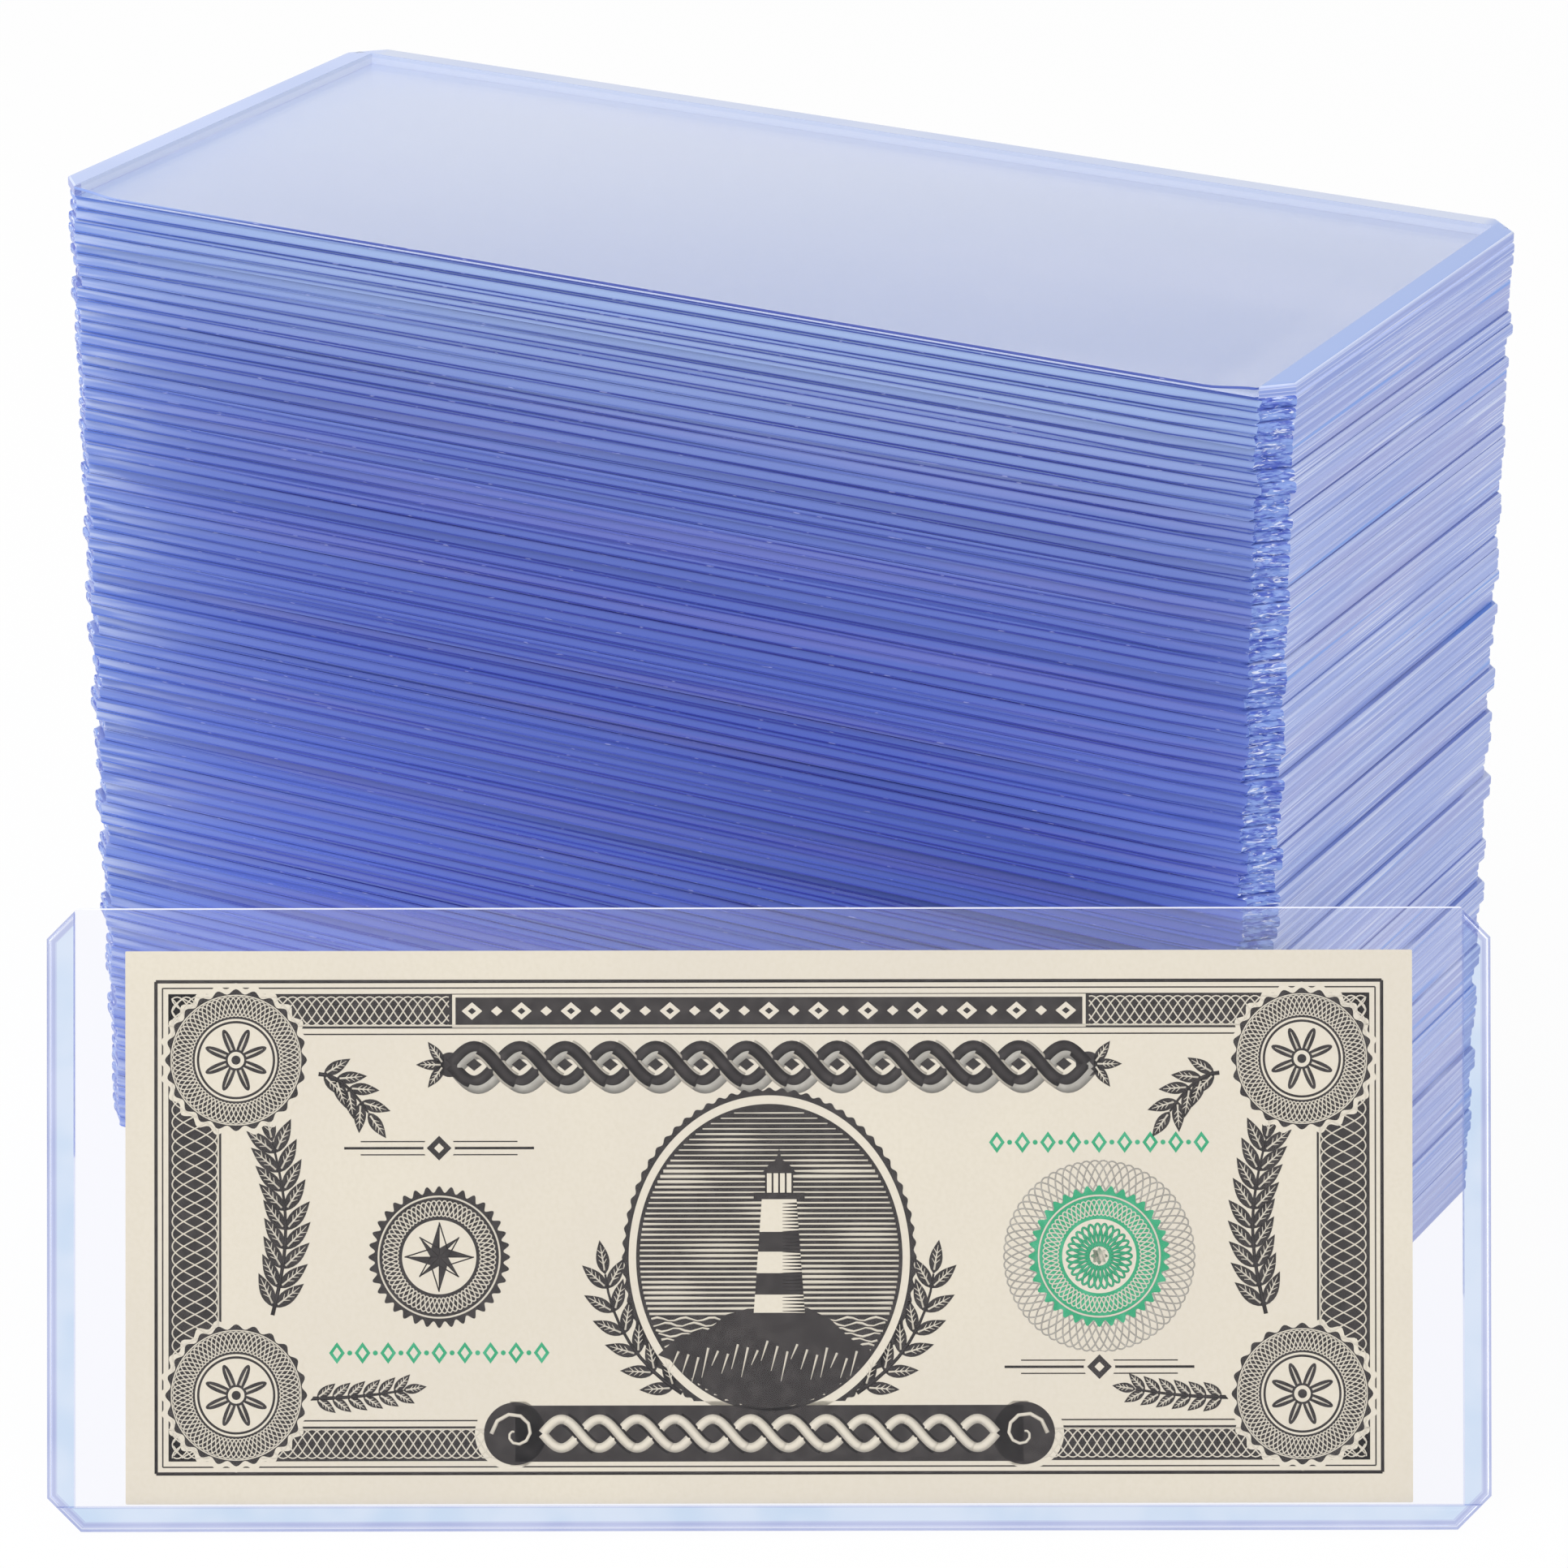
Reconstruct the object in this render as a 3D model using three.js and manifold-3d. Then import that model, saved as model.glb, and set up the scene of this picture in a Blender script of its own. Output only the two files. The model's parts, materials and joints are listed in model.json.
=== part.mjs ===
// A pile of clear, stiff banknote holders, with one more that leans on the pile's near corner
// and has a banknote in it. Each holder is two clear sheets, welded to each other along both
// short sides and one long side. The other long side is its mouth, where the note goes in.
// Millimetres, +Z up. The origin is the middle of the pile's underside. The pile's mouths run
// along X and face -Y.
import * as THREE from "three";
import { mergeVertices } from "three/addons/utils/BufferGeometryUtils.js";
import Module from "manifold-3d";

// The banknote, and the room that a pocket leaves around it
const NOTE_WIDTH = 156;
const NOTE_HEIGHT = 67;
const NOTE_THICKNESS = 0.12;
const NOTE_SIDE_ROOM = 6.2; // from the note to each side weld
const NOTE_FOOT_ROOM = 0.3; // from the note to the weld that it stands on
const NOTE_MOUTH_ROOM = 5.2; // from the note up to the mouth
const NOTE_FACE_ROOM = 0.39; // from the note to each sheet

// The sheets and welds of one holder
const SHEET_THICKNESS = 0.3;
const SIDE_WELD_WIDTH = 3.3;
const CLOSED_WELD_WIDTH = 3;
const MOUTH_CORNER_CUT = 3.7;
const CLOSED_CORNER_CUT = 4.1;
const EDGE_BEVEL = 0.2; // along the welded edges
const WELD_CLEARANCE = 0.05; // where a weld meets a sheet or another weld

// The pile: pairs of holders that cling together, and one single holder on top
const PAIR_COUNT = 44;
const PAIR_OVERLAP = 0.02; // how far the two holders of a pair are pressed into each other
const PAIR_CLEARANCE = 0.07; // air between one pair and the next
const PAIR_DRIFT = 0.35; // how far a pair may lie from the middle of the pile
const DRIFT_STEP_X = 2.4; // radians from one pair to the next
const DRIFT_STEP_Y = 3.7;

// The leaning holder
const LEAN_ANGLE = THREE.MathUtils.degToRad(23.2); // back from upright
const TURN_ANGLE = THREE.MathUtils.degToRad(28.8); // about +Z, away from facing -Y
const LEAN_CLEARANCE = 0.3; // between its back and the pile's corner
const LEAN_SIDE_SHIFT = -1.7; // along its own width, from the middle of the pile

// What follows from these
const POCKET_WIDTH = NOTE_WIDTH + 2 * NOTE_SIDE_ROOM;
const POCKET_DEPTH = NOTE_HEIGHT + NOTE_FOOT_ROOM + NOTE_MOUTH_ROOM;
const POCKET_GAP = NOTE_THICKNESS + 2 * NOTE_FACE_ROOM;
const HOLDER_WIDTH = POCKET_WIDTH + 2 * SIDE_WELD_WIDTH;
const HOLDER_DEPTH = POCKET_DEPTH + CLOSED_WELD_WIDTH;
const HOLDER_THICKNESS = POCKET_GAP + 2 * SHEET_THICKNESS;
const PAIR_THICKNESS = 2 * HOLDER_THICKNESS - PAIR_OVERLAP;
const PAIR_PITCH = PAIR_THICKNESS + PAIR_CLEARANCE;
const MOUTH_Y = -HOLDER_DEPTH / 2;
const CLOSED_Y = HOLDER_DEPTH / 2;
const CUTTER_MARGIN = 1; // how far a cutter runs past what it cuts

const wasm = await Module();
wasm.setup();

function solidOf(geometry) {
  const bare = geometry.clone();
  bare.deleteAttribute("normal");
  bare.deleteAttribute("uv");
  const merged = mergeVertices(bare);
  const mesh = new wasm.Mesh({
    numProp: 3,
    vertProperties: new Float32Array(merged.attributes.position.array),
    triVerts: new Uint32Array(merged.index.array),
  });
  return new wasm.Manifold(mesh);
}

function geometryOf(solid) {
  const mesh = solid.getMesh();
  const shared = new THREE.BufferGeometry();
  shared.setAttribute("position", new THREE.BufferAttribute(mesh.vertProperties, 3));
  shared.setIndex(new THREE.BufferAttribute(mesh.triVerts, 1));
  const faceted = shared.toNonIndexed();
  faceted.computeVertexNormals();
  return faceted;
}

// A box by its lowest and highest corners
function boxBetween(low, high) {
  const size = new THREE.Vector3(...high).sub(new THREE.Vector3(...low));
  const box = new THREE.BoxGeometry(size.x, size.y, size.z);
  box.translate(low[0] + size.x / 2, low[1] + size.y / 2, low[2] + size.z / 2);
  return box;
}

// Clear rigid PVC looks pale blue where many layers or a weld are seen
function clearPvc() {
  return new THREE.MeshStandardMaterial({
    color: "#c3cff2",
    roughness: 0.15,
    metalness: 0,
    transparent: true,
    opacity: 0.4,
  });
}

function stackedPvc() {
  return new THREE.MeshStandardMaterial({ color: "#6f86d6", roughness: 0.2, metalness: 0 });
}

function notePaper() {
  return new THREE.MeshStandardMaterial({ color: "#e6dfcd", roughness: 0.85, metalness: 0 });
}

function piece(name, geometry, material) {
  const mesh = new THREE.Mesh(geometry, material);
  mesh.name = name;
  return mesh;
}

// A holder's outline, with all four corners cut off. The mouth may run out past its own line,
// where a later cut squares it.
function holderOutline(mouthOverrun = 0) {
  const side = HOLDER_WIDTH / 2;
  const mouth = MOUTH_Y - mouthOverrun;
  const mouthCut = MOUTH_CORNER_CUT + mouthOverrun;
  return new THREE.Shape([
    new THREE.Vector2(-side + mouthCut, mouth),
    new THREE.Vector2(side - mouthCut, mouth),
    new THREE.Vector2(side, mouth + mouthCut),
    new THREE.Vector2(side, CLOSED_Y - CLOSED_CORNER_CUT),
    new THREE.Vector2(side - CLOSED_CORNER_CUT, CLOSED_Y),
    new THREE.Vector2(-side + CLOSED_CORNER_CUT, CLOSED_Y),
    new THREE.Vector2(-side, CLOSED_Y - CLOSED_CORNER_CUT),
    new THREE.Vector2(-side, mouth + mouthCut),
  ]);
}

function plate(thickness, z) {
  const geometry = new THREE.ExtrudeGeometry(holderOutline(), {
    depth: thickness,
    bevelEnabled: false,
  });
  geometry.translate(0, 0, z);
  return geometry;
}

// A whole welded holder as one body: bevelled on its welded edges, square at its mouth,
// with its pocket open at the mouth
function weldedHolder() {
  const bevel = Math.min(EDGE_BEVEL, HOLDER_THICKNESS / 2);
  const blank = new THREE.ExtrudeGeometry(holderOutline(bevel), {
    depth: HOLDER_THICKNESS - 2 * bevel,
    bevelEnabled: true,
    bevelThickness: bevel,
    bevelSize: bevel,
    bevelOffset: -bevel,
    bevelSegments: 1,
  });
  blank.translate(0, 0, bevel);
  const beyondMouth = boxBetween(
    [-HOLDER_WIDTH, MOUTH_Y - CUTTER_MARGIN - bevel, -CUTTER_MARGIN],
    [HOLDER_WIDTH, MOUTH_Y, HOLDER_THICKNESS + CUTTER_MARGIN],
  );
  const pocket = boxBetween(
    [-POCKET_WIDTH / 2, MOUTH_Y - CUTTER_MARGIN, SHEET_THICKNESS],
    [POCKET_WIDTH / 2, MOUTH_Y + POCKET_DEPTH, SHEET_THICKNESS + POCKET_GAP],
  );
  return solidOf(blank).subtract(solidOf(beyondMouth)).subtract(solidOf(pocket));
}

// Where a pair lies in the pile: no two neighbours alike, as in a pile squared up by hand
function pairPlace(index) {
  return new THREE.Vector3(
    PAIR_DRIFT * Math.sin(DRIFT_STEP_X * index),
    PAIR_DRIFT * Math.sin(DRIFT_STEP_Y * index),
    PAIR_PITCH * index,
  );
}

function pileOfPairs() {
  const pile = new THREE.Group();
  const holder = weldedHolder();
  const pair = holder.add(holder.translate([0, 0, HOLDER_THICKNESS - PAIR_OVERLAP]));
  for (let index = 0; index < PAIR_COUNT; index += 1) {
    const name = `holder_pair_${String(index + 1).padStart(2, "0")}`;
    const mesh = piece(name, geometryOf(pair), stackedPvc());
    mesh.position.copy(pairPlace(index));
    pile.add(mesh);
  }
  return pile;
}

// One weld: the part of the fused rim that lies inside a box
function weld(xLow, xHigh, yLow, yHigh) {
  const thickness = POCKET_GAP - 2 * WELD_CLEARANCE;
  const z = SHEET_THICKNESS + WELD_CLEARANCE;
  const strip = boxBetween(
    [xLow, yLow, z - CUTTER_MARGIN],
    [xHigh, yHigh, z + thickness + CUTTER_MARGIN],
  );
  return geometryOf(solidOf(plate(thickness, z)).intersect(solidOf(strip)));
}

// A holder taken apart into its two sheets and its three welds, so that its pocket is a real gap
function openHolder(prefix, lowerSheet, upperSheet, closedWeld) {
  const side = HOLDER_WIDTH / 2;
  const sideWeldEnd = MOUTH_Y + POCKET_DEPTH - WELD_CLEARANCE;
  const upperZ = SHEET_THICKNESS + POCKET_GAP;
  const holder = new THREE.Group();
  holder.add(
    piece(`${prefix}_${lowerSheet}`, plate(SHEET_THICKNESS, 0), clearPvc()),
    piece(`${prefix}_${upperSheet}`, plate(SHEET_THICKNESS, upperZ), clearPvc()),
    piece(
      `${prefix}_left_weld`,
      weld(-side, -POCKET_WIDTH / 2, MOUTH_Y, sideWeldEnd),
      clearPvc(),
    ),
    piece(
      `${prefix}_right_weld`,
      weld(POCKET_WIDTH / 2, side, MOUTH_Y, sideWeldEnd),
      clearPvc(),
    ),
    piece(
      `${prefix}_${closedWeld}`,
      weld(-side, side, MOUTH_Y + POCKET_DEPTH, CLOSED_Y),
      clearPvc(),
    ),
  );
  return holder;
}

function topHolder() {
  const holder = openHolder("top_holder", "lower_sheet", "upper_sheet", "closed_weld");
  holder.position.z = PAIR_PITCH * PAIR_COUNT;
  return holder;
}

function banknote() {
  const note = new THREE.BoxGeometry(NOTE_WIDTH, NOTE_HEIGHT, NOTE_THICKNESS);
  const noteY = MOUTH_Y + NOTE_MOUTH_ROOM + NOTE_HEIGHT / 2;
  note.translate(0, noteY, HOLDER_THICKNESS / 2);
  return piece("banknote", note, notePaper());
}

// How far out, the way that the leaning holder faces, its foot stands from the pile's middle:
// far enough that its back clears the corner of every pair up to its mouth
function leaningFootReach() {
  const facing = new THREE.Vector2(Math.sin(TURN_ANGLE), -Math.cos(TURN_ANGLE));
  const mouthHeight = HOLDER_DEPTH * Math.cos(LEAN_ANGLE);
  const corner = [
    new THREE.Vector2(HOLDER_WIDTH / 2 - MOUTH_CORNER_CUT, MOUTH_Y),
    new THREE.Vector2(HOLDER_WIDTH / 2, MOUTH_Y + MOUTH_CORNER_CUT),
  ];
  let reach = 0;
  for (let index = 0; index < PAIR_COUNT; index += 1) {
    const place = pairPlace(index);
    if (place.z > mouthHeight) break;
    const drift = new THREE.Vector2(place.x, place.y);
    const height = Math.min(place.z + PAIR_THICKNESS, mouthHeight);
    for (const point of corner) {
      const pairReach = point.clone().add(drift).dot(facing) + height * Math.tan(LEAN_ANGLE);
      reach = Math.max(reach, pairReach);
    }
  }
  return reach + LEAN_CLEARANCE / Math.cos(LEAN_ANGLE);
}

// The loaded holder stands on its closed side, mouth up, on the edge of its back sheet
function leaningHolder() {
  const holder = openHolder("loaded_holder", "front_sheet", "back_sheet", "bottom_weld");
  holder.add(banknote());
  holder.position.set(0, -CLOSED_Y, -HOLDER_THICKNESS);
  const leaning = new THREE.Group();
  leaning.add(holder);
  leaning.rotation.x = -(Math.PI / 2 + LEAN_ANGLE);
  const turned = new THREE.Group();
  turned.add(leaning);
  turned.rotation.z = TURN_ANGLE;
  const footOffset = new THREE.Vector3(LEAN_SIDE_SHIFT, -leaningFootReach(), 0);
  turned.position.copy(footOffset.applyAxisAngle(new THREE.Vector3(0, 0, 1), TURN_ANGLE));
  return turned;
}

const holders = new THREE.Group();
holders.add(pileOfPairs(), topHolder(), leaningHolder());

export default holders;
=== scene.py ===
import json
import math
import random

import bmesh
import bpy
from mathutils import Matrix, Vector


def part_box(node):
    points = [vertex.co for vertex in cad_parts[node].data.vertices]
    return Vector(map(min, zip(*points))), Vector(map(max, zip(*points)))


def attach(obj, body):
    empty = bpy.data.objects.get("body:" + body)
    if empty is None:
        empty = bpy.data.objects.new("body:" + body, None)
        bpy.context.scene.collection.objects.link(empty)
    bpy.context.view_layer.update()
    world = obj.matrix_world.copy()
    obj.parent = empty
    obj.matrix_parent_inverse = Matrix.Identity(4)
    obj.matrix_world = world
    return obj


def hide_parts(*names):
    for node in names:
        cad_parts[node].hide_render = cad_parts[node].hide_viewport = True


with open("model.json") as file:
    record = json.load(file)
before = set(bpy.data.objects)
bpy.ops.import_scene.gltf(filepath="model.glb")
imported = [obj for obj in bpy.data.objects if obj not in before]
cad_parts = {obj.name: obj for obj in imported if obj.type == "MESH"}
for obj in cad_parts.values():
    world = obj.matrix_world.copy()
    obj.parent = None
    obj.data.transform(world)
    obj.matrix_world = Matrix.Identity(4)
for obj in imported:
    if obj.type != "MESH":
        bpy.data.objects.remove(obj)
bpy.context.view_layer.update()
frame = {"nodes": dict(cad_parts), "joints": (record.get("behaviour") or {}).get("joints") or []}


# The view
# The camera looks down on the pile's near corner and squarely at the leaning holder. A long lens
# keeps the pile's edges nearly parallel.
MM = 0.001
VIEW_AZIMUTH = math.radians(28.6)
VIEW_ELEVATION = math.radians(22.8)
VIEW_DISTANCE = 780.2 * MM
VIEW_TARGET = Vector((0.4, 0.1, 54.6)) * MM
LENS_LENGTH, SENSOR_WIDTH = 133.6, 36.0

view_back = Vector((
    math.sin(VIEW_AZIMUTH) * math.cos(VIEW_ELEVATION),
    -math.cos(VIEW_AZIMUTH) * math.cos(VIEW_ELEVATION),
    math.sin(VIEW_ELEVATION),
))
bpy.ops.object.camera_add(location=VIEW_TARGET + view_back * VIEW_DISTANCE)
camera = bpy.context.object
camera.rotation_euler = view_back.to_track_quat("Z", "Y").to_euler()
camera.data.lens = LENS_LENGTH
camera.data.sensor_width = SENSOR_WIDTH
bpy.context.scene.camera = camera
bpy.context.scene.view_settings.view_transform = "Standard"


# The table and the light
# A plain white table under an even white sky, with one broad soft lamp high on the left and a weaker
# one on the right. The table keeps a soft shadow.
SKY_STRENGTH = 0.62
SEEN_TABLE_GLOW = 0.94  # how much of the seen table is white glow. The rest takes the shadow.
FLOOR_SIZE = 6.0
FLOOR_DROP = 0.08 * MM
LAMP_SIZE = 0.9


def linear(hex_colour):
    """An sRGB hex colour as linear red, green, blue and alpha."""
    channels = [int(hex_colour[i:i + 2], 16) / 255 for i in (1, 3, 5)]
    return [c / 12.92 if c <= 0.04045 else ((c + 0.055) / 1.055) ** 2.4 for c in channels] + [1.0]


def add_node(tree, kind, inputs=None, **settings):
    """Adds a node, sets its properties, sets or links its inputs, and gives its outputs. A hex colour
    is made linear."""
    node = tree.nodes.new("ShaderNode" + kind)
    for name, value in settings.items():
        setattr(node, name, value)
    for key, value in (inputs or {}).items():
        if isinstance(value, bpy.types.NodeSocket):
            tree.links.new(value, node.inputs[key])
        else:
            node.inputs[key].default_value = linear(value) if isinstance(value, str) else value
    return node.outputs


def seen_ray(tree):
    """1 where a ray comes from the camera, a reflection or a clear piece, and 0 elsewhere."""
    path = add_node(tree, "LightPath")
    seen = path["Is Transmission Ray"]
    for other in (path["Is Glossy Ray"], path["Is Camera Ray"]):
        seen = add_node(tree, "Math", {0: other, 1: seen}, operation="MAXIMUM")[0]
    return seen


def new_finish(name):
    """A new material with no nodes but the place on the piece, which its patterns read."""
    material = bpy.data.materials.new(name)
    material.use_nodes = True
    tree = material.node_tree
    tree.nodes.clear()
    return material, tree, add_node(tree, "TexCoord")["Object"]


sky = bpy.data.worlds.new("white_sky")
sky.use_nodes = True
tree = sky.node_tree
tree.nodes.clear()
strength = add_node(
    tree, "Math", {0: seen_ray(tree), 1: 1 - SKY_STRENGTH, 2: SKY_STRENGTH}, operation="MULTIPLY_ADD"
)
glow = add_node(tree, "Background", {"Color": "#ffffff", "Strength": strength[0]})
add_node(tree, "OutputWorld", {"Surface": glow[0]})
bpy.context.scene.world = sky

# Table: matt white lacquer that stays white to the camera and keeps the shadow.
table_white, tree, _ = new_finish("white_table")
paint = add_node(tree, "BsdfDiffuse", {"Color": "#fafafa"})
glow = add_node(tree, "Emission", {"Color": "#ffffff", "Strength": 1.0})
share = add_node(tree, "Math", {0: seen_ray(tree), 1: SEEN_TABLE_GLOW}, operation="MULTIPLY")
shader = add_node(tree, "MixShader", {0: share[0], 1: paint[0], 2: glow[0]})
add_node(tree, "OutputMaterial", {"Surface": shader[0]})
bpy.ops.mesh.primitive_plane_add(size=FLOOR_SIZE, location=(0, 0, -FLOOR_DROP))
floor = bpy.context.object
floor.name = "table"
floor.data.materials.append(table_white)

for name, place, watts in (
    ("high_left_lamp", Vector((-0.55, -0.75, 0.95)), 9.0), ("right_lamp", Vector((0.95, -0.35, 0.55)), 3.2),
):
    bpy.ops.object.light_add(type="AREA", location=place)
    lamp = bpy.context.object
    lamp.name = name
    lamp.rotation_euler = (place - VIEW_TARGET).to_track_quat("Z", "Y").to_euler()
    lamp.data.size = LAMP_SIZE
    lamp.data.energy = watts


# The holders of the pile
# Each is two sheets of clear rigid PVC, welded together along three sides, with its corners cut off.
# So many layers lie on each other that the eye sees their own blue, deeper the more there are.
LIP = 0.17 * MM  # how far the sheets' edges stand out of the blue that shows between them
SHEET_LINES = [0.05 * MM, 0.145 * MM]  # lower and upper side of the lower sheet's edge
ROWS = 5  # rows of faces at the mouth: both sheets' edges, and what is below, between and above
MOUTH_COLUMNS = 24
CORNER_COLUMNS = 7
RIM_ROUND = 0.28 * MM
TINY = 0.01 * MM
FLAT = 0.99  # a face looks along an axis if this much of its normal does

pair_names = sorted(name for name in frame["nodes"] if name.startswith("holder_pair_"))
pair_low, pair_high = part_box(pair_names[0])
holder_width = pair_high.x - pair_low.x
holder_depth = pair_high.y - pair_low.y
holder_thickness = (pair_high.z - pair_low.z) / 2
pile_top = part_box(pair_names[-1])[1].z
pair_floors = [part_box(name)[0].z for name in pair_names] + [pile_top]

outline = [v.co for v in frame["nodes"]["top_holder_upper_sheet"].data.vertices]
outline_low, outline_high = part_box("top_holder_upper_sheet")
mouth_cut = outline_high.x - max(v.x for v in outline if v.y < outline_low.y + TINY)
closed_cut = outline_high.x - max(v.x for v in outline if v.y > outline_high.y - TINY)


def begin_block(name, low, high):
    """Adds a box between two corners and opens it in edit mode."""
    bpy.ops.object.select_all(action="DESELECT")
    bpy.ops.mesh.primitive_cube_add(size=1, location=(Vector(low) + Vector(high)) / 2)
    block = bpy.context.object
    block.name = name
    block.data.name = name
    block.scale = Vector(high) - Vector(low)
    bpy.ops.object.transform_apply(location=True, rotation=True, scale=True)
    bpy.ops.object.mode_set(mode="EDIT")
    return block


def pick(kind, test):
    """Selects only those edges or faces of the mesh in edit mode that pass a test."""
    bpy.ops.mesh.select_mode(type={"edges": "EDGE", "faces": "FACE"}[kind])
    bpy.ops.mesh.select_all(action="DESELECT")
    shape = bmesh.from_edit_mesh(bpy.context.edit_object.data)
    for part in getattr(shape, kind):
        if test(part):
            part.select_set(True)
    shape.select_flush_mode()
    bmesh.update_edit_mesh(bpy.context.edit_object.data)


def middle(edge):
    """The middle of an edge."""
    return (edge.verts[0].co + edge.verts[1].co) / 2


def rises(edge):
    """True if an edge stands upright."""
    along = edge.verts[0].co - edge.verts[1].co
    return abs(along.z) > TINY and along.xy.length < TINY


side_x = holder_width / 2
closed_y = holder_depth / 2
wall_y = -closed_y + LIP
sheet_lines = SHEET_LINES + [holder_thickness - line for line in reversed(SHEET_LINES)]
row_height = holder_thickness / ROWS
wall_half = side_x - mouth_cut + LIP

blank = begin_block("pile_holder", (-side_x, wall_y, 0), (side_x, closed_y, holder_thickness))
pick("edges", lambda e: rises(e) and middle(e).y < 0)
bpy.ops.mesh.bevel(offset=mouth_cut - LIP, segments=1, affect="EDGES")
pick("edges", lambda e: rises(e) and middle(e).y > 0)
bpy.ops.mesh.bevel(offset=closed_cut, segments=1, affect="EDGES")
pick("edges", lambda e: rises(e) and middle(e).y < 0)
bpy.ops.mesh.subdivide(number_cuts=ROWS - 1)
pick("edges", lambda e: not rises(e) and abs(middle(e).y - wall_y) < TINY)
bpy.ops.mesh.subdivide(number_cuts=MOUTH_COLUMNS - 1)


def on_corner_cut(point):
    """True for a point on one of the two cuts beside the mouth."""
    return abs(abs(point.x) - point.y - (side_x - wall_y - mouth_cut + LIP)) < TINY


pick("edges", lambda e: not rises(e) and all(on_corner_cut(v.co) for v in e.verts))
bpy.ops.mesh.subdivide(number_cuts=CORNER_COLUMNS - 1)
pick("faces", lambda f: abs(f.normal.z) > FLAT)
bpy.ops.mesh.dissolve_faces()

shape = bmesh.from_edit_mesh(blank.data)
for vertex in shape.verts:
    row = round(vertex.co.z / row_height)
    if vertex.co.y < wall_y + TINY:
        vertex.co.x = wall_half * math.sin(math.pi / 2 * vertex.co.x / wall_half)  # closer at the ends
        if 0 < row < ROWS:
            vertex.co.z = sheet_lines[row - 1]
bmesh.update_edit_mesh(blank.data)


def is_sheet_edge(face):
    """True for a face of the mouth that is the edge of one of the two sheets."""
    point = face.calc_center_median()
    at_mouth = abs(point.y - wall_y) < TINY and face.normal.y < -FLAT
    return at_mouth and any(low < point.z < high for low, high in (sheet_lines[:2], sheet_lines[2:]))


pick("faces", is_sheet_edge)
bpy.ops.mesh.extrude_region_move(TRANSFORM_OT_translate={"value": (0, -LIP, 0)})
shape = bmesh.from_edit_mesh(blank.data)
for vertex in shape.verts:
    if vertex.co.y < wall_y - TINY and abs(vertex.co.x) > wall_half - TINY:
        vertex.co.x -= math.copysign(LIP, vertex.co.x)
bmesh.update_edit_mesh(blank.data)


def is_rim(edge):
    """True for the upper and lower edges of the welded sides."""
    point = middle(edge)
    flat = min(abs(point.z), abs(point.z - holder_thickness)) < TINY
    at_mouth = point.y < wall_y + TINY or on_corner_cut(point)
    return flat and not at_mouth and not rises(edge)


pick("edges", is_rim)
bpy.ops.mesh.bevel(offset=RIM_ROUND, segments=2, profile=0.5, affect="EDGES")
bpy.ops.object.mode_set(mode="OBJECT")


def fade(tree, distance, length, power, strength):
    """strength * exp(-(distance / length) ** power), for light that dies away inside the pile."""
    value = distance
    for operation, number in (("DIVIDE", length), ("MAXIMUM", 0.0), ("POWER", power)):
        value = add_node(tree, "Math", {0: value, 1: number}, operation=operation)[0]
    left = add_node(tree, "Math", {0: math.exp(-1), 1: value}, operation="POWER")[0]
    return add_node(tree, "Math", {0: left, 1: strength}, operation="MULTIPLY")[0]


def lit_inside(tree, place, colour, from_ends, from_above):
    """The colour of the layers where light reaches them: at both ends of the pile, most at the left
    one, and under its top."""
    axes = add_node(tree, "SeparateXYZ", {0: place})
    for operation, first, second, length, power, strength, lit in (
        ("SUBTRACT", pile_top, axes["Z"], 16.5 * MM, 1.3, 0.95, from_above),
        ("ADD", axes["X"], side_x, 17 * MM, 1.0, 0.85, from_ends),
        ("SUBTRACT", side_x, axes["X"], 8 * MM, 1.0, 0.3, from_ends),
    ):
        distance = add_node(tree, "Math", {0: first, 1: second}, operation=operation)[0]
        share = fade(tree, distance, length, power, strength)
        colour = add_node(tree, "Mix", {0: share, 6: colour, 7: lit}, data_type="RGBA")[2]
    return colour


def streaked(tree, place, colour, streak, size_mm, span, strength=1.0, detail=2.0, seed=0.0, curl=0.0):
    """Lays streaks of a second colour over the first. size_mm is a streak's size along X, Y and Z, span
    the two noise values between which it fades in, strength its share at most, and curl how it winds."""
    mapping = add_node(tree, "Mapping", {
        "Vector": place,
        "Scale": [1 / (size * MM) for size in size_mm],
        "Location": (seed, 0.7 * seed, 1.3 * seed),
    })
    noise = add_node(
        tree, "TexNoise", {"Vector": mapping[0], "Scale": 1.0, "Detail": detail, "Distortion": curl}
    )
    share = add_node(
        tree, "MapRange",
        {"Value": noise[0], "From Min": span[0], "From Max": span[1], "To Max": strength},
        interpolation_type="SMOOTHSTEP",
    )
    return add_node(tree, "Mix", {0: share[0], 6: colour, 7: streak}, data_type="RGBA")[2]


def foot_light(tree, place, dark, bright):
    """A colour of the layers that grows brighter towards the white table: painted light against the shade
    low in the pile.
    """
    height = add_node(tree, "SeparateXYZ", {0: place})["Z"]
    share = fade(tree, height, length=69 * MM, power=2.0, strength=1.0)
    return add_node(tree, "Mix", {0: share, 6: dark, 7: bright}, data_type="RGBA")[2]


def depth_colour(tree, place):
    """The blue that shows between the sheets: pale with painted light under the top and at the left end,
    deep elsewhere, and with painted whitish highlights beside the left weld.
    """
    deep = foot_light(tree, place, "#4f62b6", "#6b81df")
    hazy = streaked(tree, place, deep, "#6c70c0", (70, 70, 2.6), (0.48, 0.66), strength=0.5)
    blue = lit_inside(tree, place, hazy, "#869ddc", "#9db3dd")
    across = add_node(tree, "SeparateXYZ", {0: place})["X"]
    from_left = add_node(tree, "Math", {0: across, 1: side_x}, operation="ADD")[0]
    beside_weld = fade(tree, from_left, length=6.5 * MM, power=1.0, strength=0.85)
    # pale streaks beside the left weld: painted whitish highlights
    return streaked(tree, place, blue, "#d6dff3", (14, 14, 0.8), (0.42, 0.62), beside_weld, 1.0, 7.0)


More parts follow.
